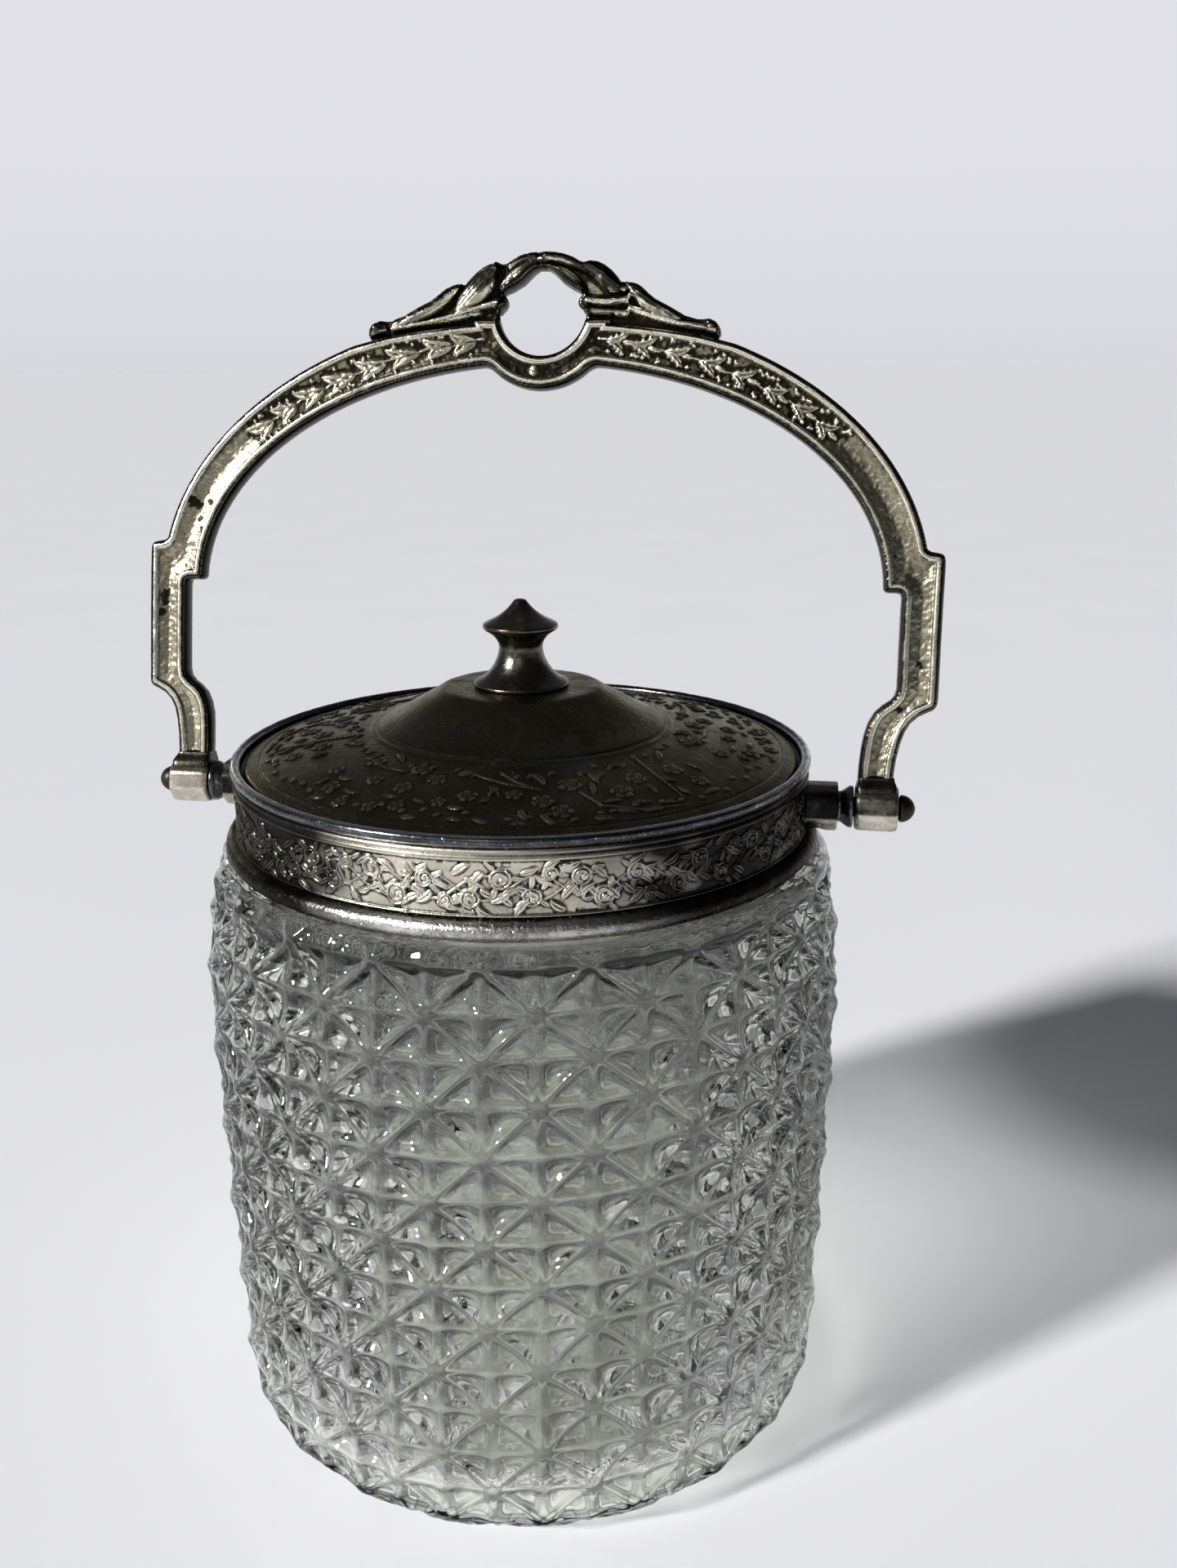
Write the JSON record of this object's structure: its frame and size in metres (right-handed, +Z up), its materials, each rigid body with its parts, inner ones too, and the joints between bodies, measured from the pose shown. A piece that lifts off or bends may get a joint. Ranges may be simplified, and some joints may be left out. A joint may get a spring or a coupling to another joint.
{
  "type": "biscuit jar",
  "caption": "Glass biscuit barrel with a star-cut wall, plated collar, loose lid with a turned finial, and a swing bail handle with a finger ring.",
  "frame": {"origin": "centre of the foot on the table, on the jar's axis", "axes": "+Z up along the jar's axis; X along the bail's pivot axis; at rest the bail leans 12 degrees towards +Y"},
  "size_m": [0.1602, 0.13, 0.2356],
  "materials": {
    "glass_jar": "pressed clear glass with a faint grey-green tint, star cutting on the wall",
    "neck_cement": "setting plaster",
    "collar_band": "silver plate, embossed with roses and scrolls, dark in the recesses",
    "rim_ring": "silver plate, blue-grey tarnish, polished on top",
    "foot_bead": "silver plate, speckled tarnish",
    "lug_left": "silver plate, dark tarnish",
    "lug_right": "silver plate, dark tarnish",
    "spacer_left": "turned, silver plate, grey tarnish",
    "spacer_right": "turned, silver plate, grey tarnish",
    "pin_left": "domed rivet head, blackened",
    "pin_right": "domed rivet head, blackened",
    "handle": "cast, warm nickel colour, polished rims, pebbled channel, oxidised edges",
    "lid_plate": "silver plate, heavy dark tarnish",
    "lid_flange": "silver plate",
    "finial": "turned, dark tarnish, pale worn foot edge",
    "finial_washer": "plain brass",
    "finial_stud": "plain brass",
    "finial_nut": "plain brass"
  },
  "bodies": {
    "jar": {"glass_jar": "glass_jar", "neck_cement": "neck_cement", "collar_band": "collar_band", "rim_ring": "rim_ring", "foot_bead": "foot_bead", "lug_left": "lug_left", "lug_right": "lug_right", "spacer_left": "spacer_left", "spacer_right": "spacer_right", "pin_left": "pin_left", "pin_right": "pin_right"},
    "handle": {"handle": "handle"},
    "lid": {"lid_plate": "lid_plate", "lid_flange": "lid_flange", "finial": "finial", "finial_washer": "finial_washer", "finial_stud": "finial_stud", "finial_nut": "finial_nut"}
  },
  "joints": [
    {"name": "handle_swing", "type": "hinge", "parent": "jar", "child": "handle", "pos_m": [0, 0, 0.1311], "axis": [1, 0, 0], "range_deg": [-108, 132]},
    {"name": "lid_lift", "type": "slide", "parent": "jar", "child": "lid", "axis": [0, 0, 1], "range_m": [0, 0.035]}
  ]
}
